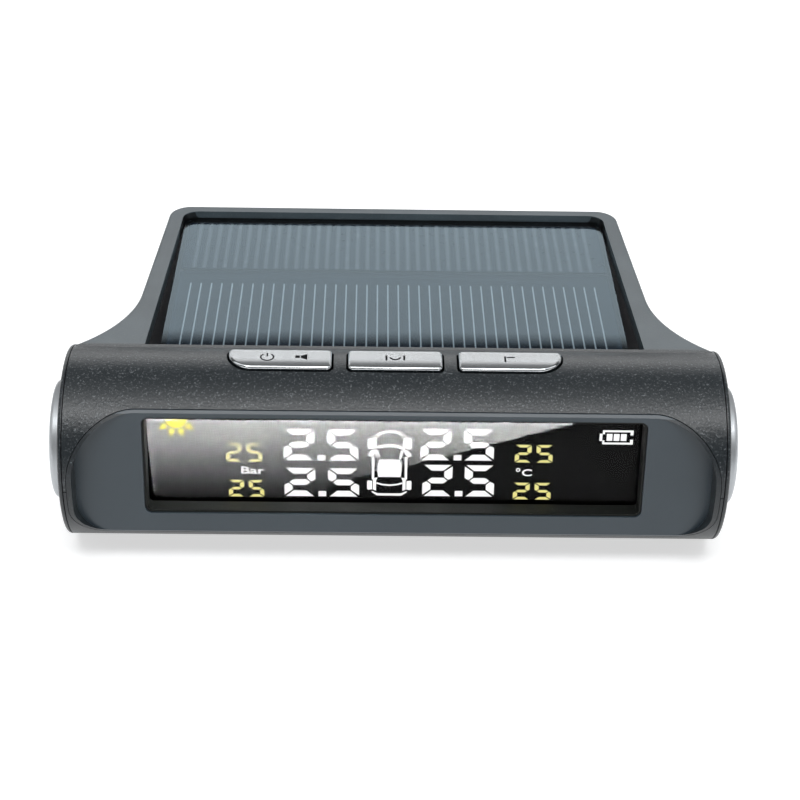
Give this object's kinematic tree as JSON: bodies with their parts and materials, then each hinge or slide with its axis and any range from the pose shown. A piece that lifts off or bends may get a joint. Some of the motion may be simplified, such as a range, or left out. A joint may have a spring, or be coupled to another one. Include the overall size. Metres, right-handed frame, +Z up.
{
  "type": "tire pressure monitor",
  "caption": "Solar dashboard display for tire pressure: round barrel with a tilted display window, push buttons on top and a flared deck carrying a solar panel.",
  "frame": {"origin": "middle of the footprint on the surface the unit rests on", "axes": "+X along the barrel to the display's right-hand end, -Y the way the display faces, +Z up"},
  "size_m": [0.084, 0.0572, 0.0241],
  "materials": {
    "case_plastic": "fine spark-eroded texture, satin black-grey",
    "bezel_plastic": "smooth satin slate grey",
    "black_plastic": "matt black",
    "side_silver": "bright satin silver",
    "button_chrome": "bright plated plastic",
    "clear_window": "tinted clear acrylic, glossy",
    "lcd_glass": "dark display glass",
    "polariser": "dark film",
    "light_guide": "milky white",
    "led_white": "small white package",
    "flex_film": "amber polyimide film",
    "circuit_board": "green solder mask",
    "chip_black": "moulded package",
    "tin_metal": "tinned steel",
    "screw_steel": "blackened zinc",
    "switch_grey": "moulded nylon",
    "copper_wire": "enamelled copper",
    "lead_sheath": "soft insulation",
    "solar_silicon": "dark silicon with fine light lines",
    "panel_cover": "clear satin resin",
    "sealant": "black sealant",
    "tape_foam": "white foam tape",
    "battery_foil": "matt foil pouch",
    "pad_rubber": "soft tacky pad"
  },
  "bodies": {
    "case": {"upper_shell": "case_plastic", "lower_shell": "case_plastic", "front_bezel": "bezel_plastic", "left_end_cap": "case_plastic", "right_end_cap": "case_plastic", "left_disc": "side_silver", "right_disc": "side_silver", "case_screws": "screw_steel", "base_pad": "pad_rubber", "display_frame": "black_plastic", "display_window": "clear_window", "front_polariser": "polariser", "lcd_cell": "lcd_glass", "rear_polariser": "polariser", "diffuser": "light_guide", "light_guide": "light_guide", "backlight_leds": "led_white", "display_flex": "flex_film", "main_board": "circuit_board", "board_screws": "screw_steel", "controller_chip": "chip_black", "radio_chip": "chip_black", "crystal": "tin_metal", "small_parts": "chip_black", "buzzer": "black_plastic", "vibration_sensor": "tin_metal", "antenna_coil": "copper_wire", "panel_tape": "tape_foam", "solar_board": "circuit_board", "panel_cover": "panel_cover", "solar_cells": "solar_silicon", "panel_seal": "sealant", "battery_cell": "battery_foil", "battery_tape": "tape_foam", "charge_board": "circuit_board", "charge_chip": "chip_black", "charging_socket": "tin_metal", "battery_leads": "lead_sheath", "solar_leads": "lead_sheath", "link_leads": "lead_sheath", "left_switch_dome": "tin_metal", "left_switch_body": "switch_grey", "middle_switch_dome": "tin_metal", "middle_switch_body": "switch_grey", "right_switch_dome": "tin_metal", "right_switch_body": "switch_grey"},
    "left_push": {"left_button": "button_chrome", "left_switch_plunger": "switch_grey"},
    "middle_push": {"middle_button": "button_chrome", "middle_switch_plunger": "switch_grey"},
    "right_push": {"right_button": "button_chrome", "right_switch_plunger": "switch_grey"}
  },
  "joints": [
    {"name": "left_press", "type": "slide", "parent": "case", "child": "left_push", "axis": [0, 0, -1], "range_m": [0, 0.0004], "stiffness_N_per_m": 2500, "deforming": ["left_switch_dome"]},
    {"name": "middle_press", "type": "slide", "parent": "case", "child": "middle_push", "axis": [0, 0, -1], "range_m": [0, 0.0004], "stiffness_N_per_m": 2500, "deforming": ["middle_switch_dome"]},
    {"name": "right_press", "type": "slide", "parent": "case", "child": "right_push", "axis": [0, 0, -1], "range_m": [0, 0.0004], "stiffness_N_per_m": 2500, "deforming": ["right_switch_dome"]}
  ]
}
